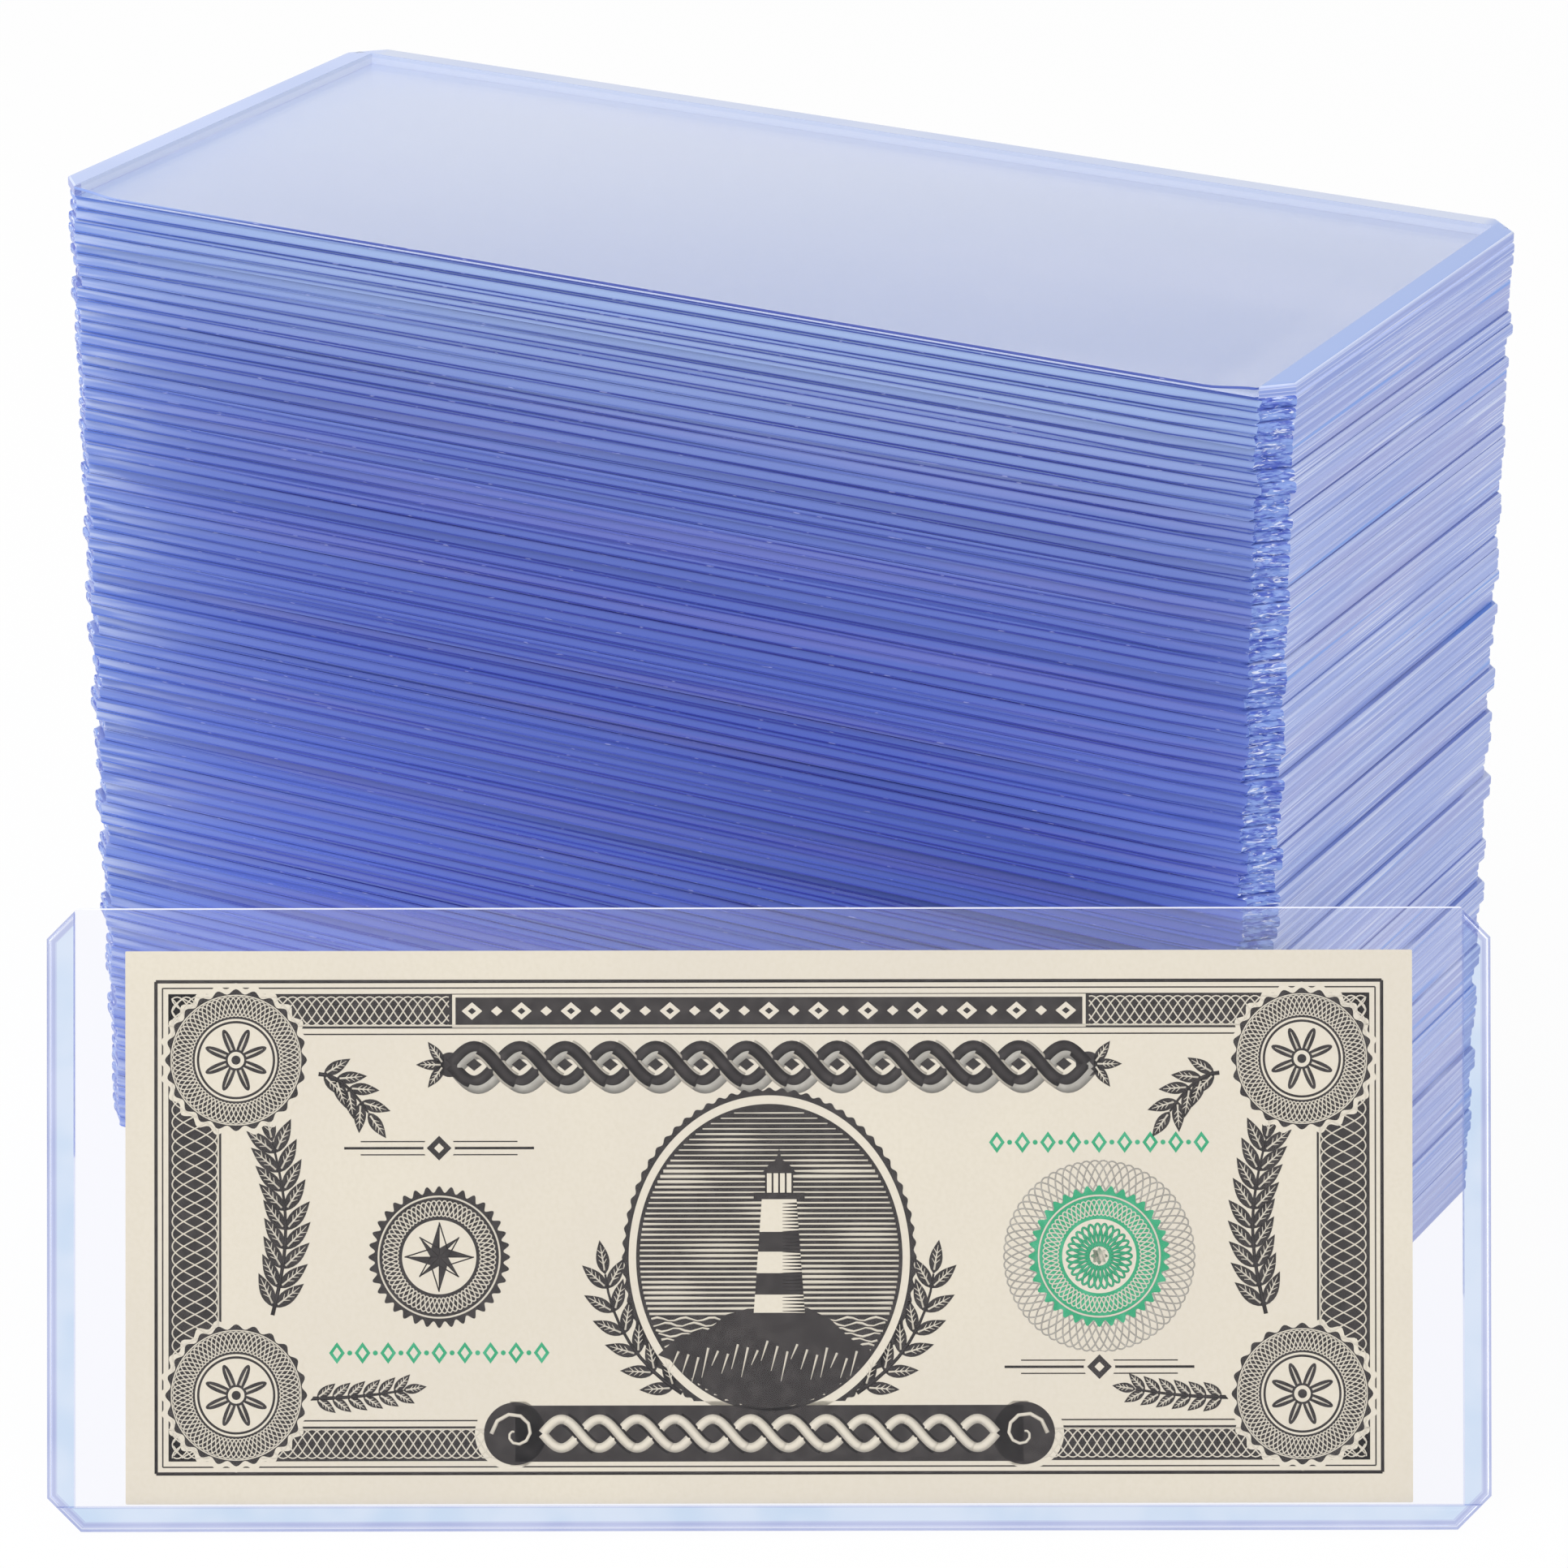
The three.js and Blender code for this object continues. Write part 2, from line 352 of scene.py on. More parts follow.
def opaque_finish(name, colour_of, roughness, specular=0.5):
    """A new material that light doesn't pass. colour_of gives its colour from a tree and the place."""
    material, tree, place = new_finish(name)
    shader = add_node(
        tree, "BsdfPrincipled",
        {"Base Color": colour_of(tree, place), "Roughness": roughness, "Specular IOR Level": specular},
    )
    add_node(tree, "OutputMaterial", {"Surface": shader[0]})
    return material


# Pocket depth: the light that comes back out of many clear layers, an even blue with faint haze.
pocket_blue = opaque_finish("pvc_layers_seen_through_mouth", depth_colour, roughness=0.32, specular=0.3)


def edge_colour(tree, place):
    """The blue of a sheet's edge. Where it lies too deep to show, it is the blue of the layers."""
    colour = foot_light(tree, place, "#353c97", "#565fcb")
    colour = lit_inside(tree, place, colour, "#6a90e6", "#3a4a9e")
    layers = depth_colour(tree, place)
    height = add_node(tree, "SeparateXYZ", {0: place})["Z"]
    bunched = fade(tree, height, length=96 * MM, power=4.0, strength=0.85)
    for streak, size_mm, span, strength, seed in (
        (layers, (90, 90, 0.9), (0.52, 0.66), 0.75, 3.1),
        (layers, (95, 95, 3.4), (0.47, 0.58), bunched, 1.7),
        # the pale flecks: painted glints
        ("#bfc3ea", (1.7, 9, 0.16), (0.69, 0.75), 0.45, 9.2),
    ):
        colour = streaked(tree, place, colour, streak, size_mm, span, strength, detail=1.0, seed=seed)
    return colour


# Sheet edge: a sheared edge carries light from the whole sheet, so it is dark and strong in colour.
# Some edges lie too deep to show, whole bunches of them low in the pile. The pale flecks on the edges are
# painted glints.
sheet_edge = opaque_finish("pvc_sheared_sheet_edge", edge_colour, roughness=0.35, specular=0.25)


def torn_colour(tree, place):
    """Blue with painted white and dark glints that wind about."""
    colour = "#4b61be"
    for streak, size_mm, span, strength, detail, seed, curl in (
        ("#829cdd", (2.4, 2.4, 0.55), (0.38, 0.56), 1.0, 3.0, 0.0, 0.8),
        ("#eef3fd", (1.9, 1.9, 0.42), (0.58, 0.66), 0.75, 2.0, 4.3, 1.2),
        ("#3a50b8", (2.4, 2.4, 0.4), (0.58, 0.64), 0.8, 2.0, 8.9, 1.2),
    ):
        colour = streaked(tree, place, colour, streak, size_mm, span, strength, detail, seed, curl)
    return colour


# Cut corner: the die tears the weld here, so it is rough. Its white and blue glints are painted highlights
# in its colour.
torn_weld = opaque_finish("pvc_torn_corner_cut", torn_colour, roughness=0.28)


def rim_colour(tree, place):
    """The milky blue of a melted rim, with fine lines drawn along it and a few clear blue ones."""
    milky = "#7b90d4"
    for streak, size_mm, span, strength, detail, seed in (
        ("#98aae2", (60, 60, 0.5), (0.38, 0.62), 1.0, 3.0, 0.0),
        ("#a3a6d6", (60, 60, 7), (0.42, 0.68), 0.5, 2.0, 5.0),
        ("#8290cc", (50, 50, 0.24), (0.58, 0.66), 0.65, 0.0, 2.2),
        ("#d8e0f6", (35, 35, 0.2), (0.64, 0.7), 0.65, 0.0, 6.6),
        ("#6290e0", (55, 55, 0.8), (0.71, 0.77), 0.85, 0.0, 8.0),
    ):
        milky = streaked(tree, place, milky, streak, size_mm, span, strength, detail, seed)
    return milky


def rounded_rim(tree, place):
    """The rim's colour, painted paler the more a face of its rounding looks up or down, as painted light in
    the grooves.
    """
    facing = add_node(tree, "TexCoord")["Normal"]
    upright = add_node(tree, "SeparateXYZ", {0: facing})["Z"]
    rounded = add_node(tree, "Math", {0: upright}, operation="ABSOLUTE")[0]
    milky = rim_colour(tree, place)
    return add_node(tree, "Mix", {0: rounded, 6: milky, 7: "#d0daf7"}, data_type="RGBA")[2]


# Welded rim: melted and squeezed flat, so it is pale and milky, with fine lines along it. Its rounded edges
# are
# painted paler still: painted light for the light that comes through the rim into the grooves between two
# holders.
weld_rim = opaque_finish("pvc_melted_rim", rounded_rim, roughness=0.3)


def milky_ends(tree, place, colour):
    """A sheet's colour, with the milky colour of the rim along both welded ends."""
    across = add_node(tree, "SeparateXYZ", {0: place})["X"]
    off_middle = add_node(tree, "Math", {0: across}, operation="ABSOLUTE")[0]
    at_end = add_node(
        tree, "MapRange", {"Value": off_middle, "From Min": side_x - 3.5 * MM, "From Max": side_x - 3.2 * MM}
    )[0]
    milky = rim_colour(tree, place)
    return add_node(tree, "Mix", {0: at_end, 6: colour, 7: milky}, data_type="RGBA")[2]


def sliver_colour(tree, place):
    """The blue between the sheets, milky at the ends."""
    return milky_ends(tree, place, depth_colour(tree, place))


# Sheet between two holders: only a sliver of it shows, blue at the mouth and milky at the welded ends.
sliver = opaque_finish("pvc_sheet_between_holders", sliver_colour, roughness=0.3)


def face_colour(tree, place):
    """The blue of the layers below, with painted light: paler to the back, at the mouth and at the left end.
    """
    axes = add_node(tree, "SeparateXYZ", {0: place})
    # paler to the back left: a painted reflection of the light from there
    along = add_node(tree, "Math", {0: axes["X"], 1: holder_width}, operation="DIVIDE")[0]
    across = add_node(tree, "Math", {0: axes["Y"], 1: holder_depth}, operation="DIVIDE")[0]
    slant = add_node(tree, "Math", {0: along, 1: across}, operation="SUBTRACT")[0]
    slope = add_node(
        tree, "MapRange", {"Value": slant, "From Min": -0.9, "From Max": 0.9},
        interpolation_type="SMOOTHSTEP",
    )[0]
    colour = add_node(tree, "Mix", {0: slope, 6: "#bbc6d9", 7: "#6f88bd"}, data_type="RGBA")[2]
    colour = streaked(tree, place, colour, "#a6b0d2", (60, 18, 50), (0.45, 0.7), strength=0.35)
    # a paler band at the mouth and at the left end: painted light
    for axis, border, length, power, lit in (
        ("Y", closed_y, 2.4 * MM, 4.0, "#bccbf0"), ("X", side_x, 16 * MM, 1.0, "#a1bae5"),
    ):
        distance = add_node(tree, "Math", {0: axes[axis], 1: border}, operation="ADD")[0]
        share = fade(tree, distance, length, power, strength=0.9)
        colour = add_node(tree, "Mix", {0: share, 6: colour, 7: lit}, data_type="RGBA")[2]
    return milky_ends(tree, place, colour)


# Sheet face: the flat of the sheets where the pile ends, blue from the layers below. It is paler to the back
# as a painted reflection, and paler at the mouth and at the left end as painted light.
sheet_face = opaque_finish("pvc_sheet_on_the_pile", face_colour, roughness=0.22)

pile_finishes = [sliver, pocket_blue, sheet_edge, torn_weld, weld_rim, sheet_face]
for material in pile_finishes:
    blank.data.materials.append(material)
for face in blank.data.polygons:
    point, turn = face.center, face.normal
    if point.y < wall_y - TINY:
        finish = sheet_edge
    elif abs(point.y - wall_y) < TINY and turn.y < -FLAT:
        finish = pocket_blue
    elif abs(turn.z) > FLAT:
        finish = sliver
    elif on_corner_cut(point):
        finish = torn_weld
    else:
        finish = weld_rim
    face.material_index = pile_finishes.index(finish)

chance = random.Random(11)
PLAY = 0.16 * MM  # how far a holder lies off its pair
WELDED_LINES = [0.02 * MM, 0.1 * MM]  # the weld squeezes a sheet's edge thin
WELD_LIFT = 0.36 * MM  # and lifts the lower sheet
PINCH_REACH = 12 * MM  # over this length from the mouth's ends
END_HOLD = 6 * MM  # so near its ends the weld holds both sheets
FREE_REACH = 34 * MM  # and from there on they come free to bow over this length
LOOSE_SHARE, LOOSE_SHARE_ABOVE = 0.3, 0.12  # how many sheets bow far, low in the pile and high up in it
HIGH_UP = 60  # the holder from which the pile counts as high
LOOSE_BOW, TIGHT_BOW = (0.18, 0.40), (0.0, 0.12)  # how far a loose sheet and another one bow, in mm
BOW_SWING = (0.02, 0.10)  # by how much that changes along the edge, in mm
BOW_TURN = 5.0  # and how far its wave turns from end to end, in radians
MOUTH_RAG = 0.65 * MM  # how far the sheets' edges reach raggedly over the cut corners
CORNER_TEAR = 0.3 * MM  # how deep the cut corners are torn
CORNER_WAVE = 0.1 * MM  # and how far the tears wander up and down
CORNER_BULGE = 0.3 * MM  # how far the melt stands out there between its upper and its lower side
WHOLE_CORNER = 1.5 * RIM_ROUND  # the end of a cut that isn't torn
LEFT_SHARE = 0.35  # how much of all this there is at the left end


def eased(share):
    """A share held between 0 and 1 that starts and ends gently."""
    share = min(max(share, 0), 1)
    return share * share * (3 - 2 * share)


def bow(amount, swing, phase, x):
    """How far a sheet's edge bows at x: not at all at the welds, freely in the middle."""
    free = eased((side_x - END_HOLD - abs(x)) / FREE_REACH)
    return free * (amount + swing * math.sin(phase + x / holder_width * BOW_TURN))


welded_lines = WELDED_LINES + [holder_thickness - line for line in reversed(WELDED_LINES)]


def pinch(point, end_share):
    """How far the weld moves a point of a sheet's edge: fully at the welds, not in the middle."""
    row = min(range(ROWS - 1), key=lambda i: abs(sheet_lines[i] - point.z))
    lift = WELD_LIFT * end_share if row < 2 else 0
    near = eased((abs(point.x) - wall_half) / PINCH_REACH + 1)
    return (welded_lines[row] + lift - sheet_lines[row]) * near


holder_count = 2 * len(pair_names)
for number in range(holder_count):
    pair = number // 2
    low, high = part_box(pair_names[pair])
    height = (pair_floors[pair + 1] - pair_floors[pair]) / 2
    holder = bpy.data.objects.new(f"pile_holder_{number + 1:02d}", blank.data.copy())
    bpy.context.collection.objects.link(holder)
    shift = Vector((chance.uniform(-PLAY, PLAY), chance.uniform(-PLAY, PLAY), 0))
    place = Vector(((low.x + high.x) / 2, (low.y + high.y) / 2, low.z + number % 2 * height)) + shift
    loose_share = LOOSE_SHARE_ABOVE if number >= HIGH_UP else LOOSE_SHARE
    bows = []
    for direction in (1, -1):
        loose = chance.random() < loose_share
        amount = chance.uniform(*(LOOSE_BOW if loose else TIGHT_BOW))
        swing = chance.uniform(*BOW_SWING)
        bows.append((direction * amount * MM, direction * swing * MM, chance.uniform(0, math.tau)))
    for vertex in holder.data.vertices:
        point = vertex.co
        end_share = 1.0 if point.x > 0 else LEFT_SHARE
        inside = TINY < point.z < holder_thickness - TINY
        if inside and point.y < wall_y + TINY:
            upper = point.z > holder_thickness / 2
            point.z += pinch(point, end_share) + bow(*bows[upper], point.x)
            if abs(point.x) > wall_half - TINY:
                point.x += math.copysign(chance.uniform(0.0, MOUTH_RAG) * end_share, point.x)
        elif on_corner_cut(point):
            off_middle = min(abs(2 * point.z / holder_thickness - 1), 1)
            depth = CORNER_BULGE * (1 - math.sqrt(1 - off_middle ** 2)) if point.y > wall_y + TINY else 0
            if side_x - abs(point.x) > WHOLE_CORNER:
                depth += chance.uniform(0.0, CORNER_TEAR) * end_share
                if inside:
                    point.z += chance.uniform(-CORNER_WAVE, CORNER_WAVE)
            point.x -= math.copysign(depth, point.x) / math.sqrt(2)
            point.y += depth / math.sqrt(2)
        vertex.co = Vector((point.x, point.y, point.z * height / holder_thickness)) + place
    for face in holder.data.polygons:
        under = number == 0 and face.normal.z < -FLAT
        over = number == holder_count - 1 and face.normal.z > FLAT
        if (under or over) and face.material_index == pile_finishes.index(sliver):
            face.material_index = pile_finishes.index(sheet_face)
    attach(holder, "pile")
    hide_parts(pair_names[pair])
bpy.data.objects.remove(blank)


# The top holder and the loaded holder
# Each has two clear sheets over its pocket, and three welded seams where the sheets are melted
# together into one rounded bead. The mouth is open.
SEAM_ROUND = 0.55 * MM
SEAM_EDGE = 1.1 * MM  # the outermost band of a seam, where the melt was squeezed out
SEAM_INNER_EDGE = 0.13 * MM
SEAM_PARTS = ["flat", "edge", "ridge", "wall"]  # in the order of a seam's finishes
RIDGE_START = 0.7  # the ridge is what lies further in on the rounding than this share of it
SMOOTH_ANGLE = math.radians(40)
SHEET_AIR = 0.03 * MM  # the hair of air that keeps a clear sheet off the seams and off the pile
MOUTH_EDGE = 0.17 * MM  # the sheared edge of a sheet at the mouth
TOP_HANG = 0.68 * MM  # how far the top holder's upper sheet hangs down at its mouth
HANG_REACH = 7 * MM  # and how far from the welds it is free to
HANG_ROWS, HANG_COLUMNS = 9, 6  # cuts to each side of the middle, and in the reach at each weld
FROST = 0.75  # how much of the light a frosted edge scatters

sheet_thickness = outline_high.z - outline_low.z
side_low, side_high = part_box("top_holder_left_weld")
side_seam = side_high.x - side_low.x
back_low, back_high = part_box("top_holder_closed_weld")
closed_seam = back_high.y - back_low.y
whole_thickness = outline_high.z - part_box("top_holder_lower_sheet")[0].z


def clear_finish(name, tint, gloss, roughness, flow=None):
    """A new clear material under a gloss that grows towards grazing angles. gloss is its share face on,
    and flow the colour of flow lines. The sheet's far side makes the gloss a little blue."""
    material, tree, place = new_finish(name)
    if flow:
        tint = streaked(tree, place, tint, flow, (9, 9, 9), (0.35, 0.7))
    through = add_node(tree, "BsdfTransparent", {"Color": tint})
    shine = add_node(tree, "BsdfGlossy", {"Color": "#f3f6ff", "Roughness": roughness})
    turned = add_node(tree, "LayerWeight", {"Blend": 0.5})
    steep = add_node(tree, "Math", {0: turned["Facing"], 1: 5.0}, operation="POWER")
    share = add_node(tree, "Math", {0: steep[0], 1: 1 - gloss, 2: gloss}, operation="MULTIPLY_ADD")
    surface = add_node(tree, "MixShader", {0: share[0], 1: through[0], 2: shine[0]})
    add_node(tree, "OutputMaterial", {"Surface": surface[0]})
    return material


# Clear sheet: calendered film, flat and glossy, that hardly veils what is behind it.
clear_sheet = clear_finish("pvc_clear_sheet", "#fefeff", gloss=0.012, roughness=0.04)

# Back sheet: the same film, scuffed by what it lies on, so it lays a pale veil over what is behind it.
scuffed_sheet = clear_finish("pvc_scuffed_back_sheet", "#fefeff", gloss=0.056, roughness=0.04)

# Seam: thick melted PVC, light blue and glossy, with soft flow lines.
seam_body = clear_finish("pvc_melted_seam", "#edf3fc", gloss=0.035, roughness=0.08, flow="#e4eefa")


def pressed_colour(tree, place):
    """The pale blue of the back seam, with the colours of both ends and soft flow lines."""
    across = add_node(tree, "SeparateXYZ", {0: place})["X"]
    colour = "#c5cee6"
    for end, lit in ((1, "#90a9e2"), (-1, "#bac9f2")):
        at_end = add_node(
            tree, "MapRange",
            {"Value": across, "From Min": end * (side_x - 5 * MM), "From Max": end * (side_x - 3 * MM)},
        )[0]
        colour = add_node(tree, "Mix", {0: at_end, 6: colour, 7: lit}, data_type="RGBA")[2]
    return streaked(tree, place, colour, "#a4b7e6", (30, 30, 30), (0.4, 0.75), strength=0.4)


# Pressed seam: the same melt with the whole pile under it. It is pale at the back, light blue at the left
# end, and deeper at the right one, where the pile's own end shows through.
pressed_seam = opaque_finish("pvc_pressed_seam", pressed_colour, roughness=0.14)

# Seam wall: the inner side of that melt, painted paler than the seam as painted light, for the light that
# reaches it through the clear sheets.
seam_wall = opaque_finish("pvc_pressed_seam_wall", lambda tree, place: "#c8d3ec", roughness=0.14)

# Seam edge: the melt squeezed out along the outline is thicker, so it gathers more of the colour.
seam_edge = clear_finish("pvc_melted_seam_edge", "#dee2f4", gloss=0.035, roughness=0.08, flow="#d5daf0")

# Seam ridge: a painted highlight on the crest of that melt, with a paler tint and far more gloss, so that it
# mirrors the sky as a thin pale line.
seam_ridge = clear_finish("pvc_melted_seam_ridge", "#f1f3fc", gloss=0.3, roughness=0.12)

# Mouth edge: the shears leave the edge of a clear sheet frosted, so it is a thin white line.
mouth_edge, tree, _ = new_finish("pvc_sheared_mouth_edge")
through = add_node(tree, "BsdfTransparent", {"Color": "#ffffff"})
frost = add_node(tree, "BsdfDiffuse", {"Color": "#f4f6ff"})
surface = add_node(tree, "MixShader", {0: FROST, 1: through[0], 2: frost[0]})
add_node(tree, "OutputMaterial", {"Surface": surface[0]})


def finish_piece(piece, place, body, node, materials):
    """Closes edit mode, moves the mesh to its place and hangs the piece on its body."""
    bpy.ops.object.mode_set(mode="OBJECT")
    for material in materials:
        piece.data.materials.append(material)
    piece.data.transform(place)
    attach(piece, body)
    if node:
        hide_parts(node)


def cut(spot, turn, off=False):
    """Cuts the mesh in edit mode along a plane, and takes off what lies beyond it if off is set."""
    bpy.ops.mesh.select_all(action="SELECT")
    bpy.ops.mesh.bisect(plane_co=spot, plane_no=turn, use_fill=off, clear_outer=off)


def seam(name, low, high, cuts, place, body, node, rounding, edge_width, finishes):
    """One welded seam: a bar with cut corners, rounded along the holder's outline. edge_width is how
    far its edge reaches in on the flat, and finishes are those of SEAM_PARTS."""
    half = whole_thickness / 2
    bead = begin_block(name, (*low, -half), (*high, half))
    for x, y, leg in cuts:
        cut((x * (side_x - leg), y * closed_y, 0), (x, y, 0), off=True)

    def from_outline(point):
        """How far a point lies inside the holder's outline."""
        reach = [side_x - abs(point.x), point.y + closed_y]
        for x, y, leg in cuts:
            reach.append((side_x + closed_y - leg - x * point.x - y * point.y) / math.sqrt(2))
        return min(reach)

    for x in (1, -1):
        cut((x * (side_x - SEAM_EDGE), 0, 0), (x, 0, 0))
    cut((0, -closed_y + SEAM_EDGE, 0), (0, -1, 0))
    for x, y, leg in cuts:
        cut((x * (side_x - leg - SEAM_EDGE * math.sqrt(2)), y * closed_y, 0), (x, y, 0))

    def lies_flat(edge):
        return abs(abs(middle(edge).z) - half) < TINY and not rises(edge)

    def at_window(point):
        at_side = abs(abs(point.x) - side_x + side_seam) < TINY and point.y > -closed_y + closed_seam
        return at_side or (abs(point.y + closed_y - closed_seam) < TINY and high[1] < 0)

    pick("edges", lambda e: lies_flat(e) and all(from_outline(v.co) < TINY for v in e.verts))
    bpy.ops.mesh.bevel(offset=rounding, segments=5, profile=0.5, affect="EDGES")
    if edge_width:
        pick("edges", lambda e: lies_flat(e) and all(at_window(v.co) for v in e.verts))
        bpy.ops.mesh.bevel(offset=SEAM_INNER_EDGE, segments=1, affect="EDGES")
    bpy.ops.object.mode_set(mode="OBJECT")
    bpy.ops.object.shade_smooth_by_angle(angle=SMOOTH_ANGLE)
    for face in bead.data.polygons:
        inside, flat = from_outline(face.center), abs(face.normal.z) > FLAT
        if RIDGE_START * rounding < inside < rounding and not flat:
            part = "ridge"
        elif inside > rounding and not flat:
            part = "wall"
        else:
            part = "edge" if inside < edge_width or not flat else "flat"
        face.material_index = SEAM_PARTS.index(part)
    bead.visible_shadow = False  # clear PVC lets nearly all light through to what is behind it
    finish_piece(bead, place, body, node, finishes)


def sheet(name, side, place, body, node, edge, hang):
    """One clear sheet over the pocket. side is 1 for the front and -1 for the back, and hang is how far
    the middle of its mouth leans towards the other sheet."""
    outer = side * (whole_thickness / 2 - SHEET_AIR)
    inner = side * (whole_thickness / 2 - sheet_thickness)
    half_x = side_x - side_seam - SHEET_AIR
    low = (-half_x, -closed_y + closed_seam + SHEET_AIR, min(outer, inner))
    high = (half_x, closed_y, max(outer, inner))
    film = begin_block(name, low, high)
    for x in (1, -1):
        cut((x * (side_x - mouth_cut), closed_y, 0), (x, 1, 0), off=True)
    pick("edges", lambda e: middle(e).y > closed_y - TINY and abs(middle(e).z - outer) < TINY)
    bpy.ops.mesh.bevel(offset=MOUTH_EDGE, segments=1, affect="EDGES")
    if hang:
        for step in range(1 - HANG_ROWS, HANG_ROWS):
            cut((0, step * closed_y / HANG_ROWS, 0), (0, 1, 0))
        for end in (1, -1):
            for step in range(1, HANG_COLUMNS + 1):
                cut((end * (half_x - step * HANG_REACH / HANG_COLUMNS), 0, 0), (1, 0, 0))
        shape = bmesh.from_edit_mesh(film.data)
        for vertex in shape.verts:
            out = (vertex.co.y - low[1]) / (high[1] - low[1])
            vertex.co.z -= side * hang * eased((half_x - abs(vertex.co.x)) / HANG_REACH) * out * out
        bmesh.update_edit_mesh(film.data)
    bpy.ops.object.mode_set(mode="OBJECT")
    if hang:
        bpy.ops.object.shade_smooth_by_angle(angle=SMOOTH_ANGLE)
    for face in film.data.polygons:
        face.material_index = 1 if face.normal.y > 0.5 else 0  # the edge at the mouth, or the sheet
    film.visible_shadow = False
    film.visible_diffuse = False
    flat = clear_sheet if side > 0 else scuffed_sheet
    finish_piece(film, place, body, node, (flat, edge))


def open_holder(body, place, names, edge, hang, rounding, edge_width, finishes):
    """Both sheets and all three seams of a loose holder, modelled flat with its mouth towards +Y."""
    foot = -closed_y + closed_seam
    mouth = [(1, 1, mouth_cut), (-1, 1, mouth_cut)]
    closed = [(1, -1, closed_cut), (-1, -1, closed_cut)]
    right, left = [mouth[0], closed[0]], [mouth[1], closed[1]]
    for part, side, lean in ((names["front"], 1, hang), (names["back"], -1, 0)):
        sheet(f"{body}_{part}_film", side, place, body, f"{body}_{part}", edge, lean)
    for part, low, high, cuts in (
        (names["right"], (side_x - side_seam, foot), (side_x, closed_y), right),
        (names["left"], (-side_x, foot), (-side_x + side_seam, closed_y), left),
        (names["closed"], (-side_x, -closed_y), (side_x, foot), closed),
    ):
        node = f"{body}_{part}"
        seam(node + "_seam", low, high, cuts, place, body, node, rounding, edge_width, finishes)


def holder_place(right, up, out, nodes):
    """Where a flat holder goes: its three directions, and its middle from the nodes of its sheets."""
    points = [v.co for node in nodes for v in frame["nodes"][node].data.vertices]
    origin = Vector()
    for direction in (right, up, out):
        reach = [direction.dot(point) for point in points]
        origin += direction * (min(reach) + max(reach)) / 2
    place = Matrix((right, up, out)).transposed().to_4x4()
    place.translation = origin
    return place


top_place = holder_place(
    Vector((-1, 0, 0)), Vector((0, -1, 0)), Vector((0, 0, 1)),
    ("top_holder_lower_sheet", "top_holder_upper_sheet"),
)
open_holder("top_holder", top_place, {
    "front": "upper_sheet", "back": "lower_sheet",
    "right": "left_weld", "left": "right_weld", "closed": "closed_weld",
}, sheet_edge, TOP_HANG, RIM_ROUND, 0, (pressed_seam, weld_rim, weld_rim, seam_wall))

joint_axes = {joint["name"]: Vector(joint["axis"]).normalized() for joint in frame["joints"]}
lean_out = joint_axes["loaded_holder_draw"]
lean_up = joint_axes["note_slide"]
loaded_place = holder_place(
    lean_up.cross(lean_out), lean_up, lean_out, ("loaded_holder_front_sheet", "loaded_holder_back_sheet")
)
open_holder("loaded_holder", loaded_place, {
    "front": "front_sheet", "back": "back_sheet",
    "right": "right_weld", "left": "left_weld", "closed": "bottom_weld",
}, mouth_edge, 0, SEAM_ROUND, SEAM_EDGE, (seam_body, seam_edge, seam_ridge, seam_edge))


# The banknote
# A sheet of cream cotton paper, cut square, that stands on the holder's bottom seam.
NOTE_CORNER = 0.15 * MM  # how far its corners are worn round

note_points = [loaded_place.inverted() @ v.co for v in frame["nodes"]["banknote"].data.vertices]
note_low = Vector(min(p[i] for p in note_points) for i in range(3))
note_high = Vector(max(p[i] for p in note_points) for i in range(3))


def paper_colour(tree, place):
    """Cream with clouds, and with fibres over them."""
    cloudy = streaked(tree, place, "#ded6c4", "#dad2c2", (30, 30, 30), (0.3, 0.7))
    return streaked(tree, place, cloudy, "#d2c9b4", (0.5, 0.5, 0.5), (0.35, 0.7), strength=0.25)


# Note paper: soft cream cotton rag, matt, with a faint cloudiness and fine fibres.
note_paper = opaque_finish("cream_cotton_note_paper", paper_colour, roughness=0.85, specular=0.2)

paper = begin_block("note_paper", note_low, note_high)
pick("edges", rises)
bpy.ops.mesh.bevel(offset=NOTE_CORNER, segments=2, affect="EDGES")
finish_piece(paper, loaded_place, "note", "banknote", (note_paper,))


# The print on the note
# Line-engraved ink stands a hair proud of the paper. The design is a plain one of its kind: a woven
# border, rosettes, laurel, a lighthouse in an oval, and a green rosette. Sizes are in mm from the middle.
INK_STEP = 0.008 * MM  # each layer of the print lies this much higher than the one below
INK_ROOT = 0.01 * MM  # and reaches this far into the paper
LINE_FLATTEN = 0.02  # how much the round of a printed line is pressed flat
INK_MERGE = 0.001 * MM  # joins the end caps of a printed line to it
HALF_PRINT = Vector((74.3, 29.8))
BAND_HALF = Vector((72.8, 28.3))  # outer side of the woven border
BAND_SIDE, BAND_TOP = 6.4, 4.2  # its width at the short and the long sides
PLATE_HALF = 38.0  # half length of the plain plate in the upper band
CORNER = Vector((64.6, 20.3))
BRAID_Y, BRAID_HALF, BRAID_SWING, BRAID_PERIOD = 19.7, 38.5, 2.1, 11
OVAL, OVAL_HALF = Vector((0.0, -3.7)), Vector((15.8, 18.2))
MEDALLION = Vector((40.0, -3.6))
CARTOUCHE_Y = -25.0
WEAVE_STEP, WEAVE_LINE = 0.35, 0.17  # length of a step and width of a line of the woven border

note_middle = (note_low + note_high) / 2
note_front = loaded_place @ Matrix.Translation((note_middle.x, note_middle.y, note_high.z))
note_back = loaded_place @ Matrix.Translation((note_middle.x, note_middle.y, note_low.z))
note_back = note_back @ Matrix.Rotation(math.pi, 4, "Y")


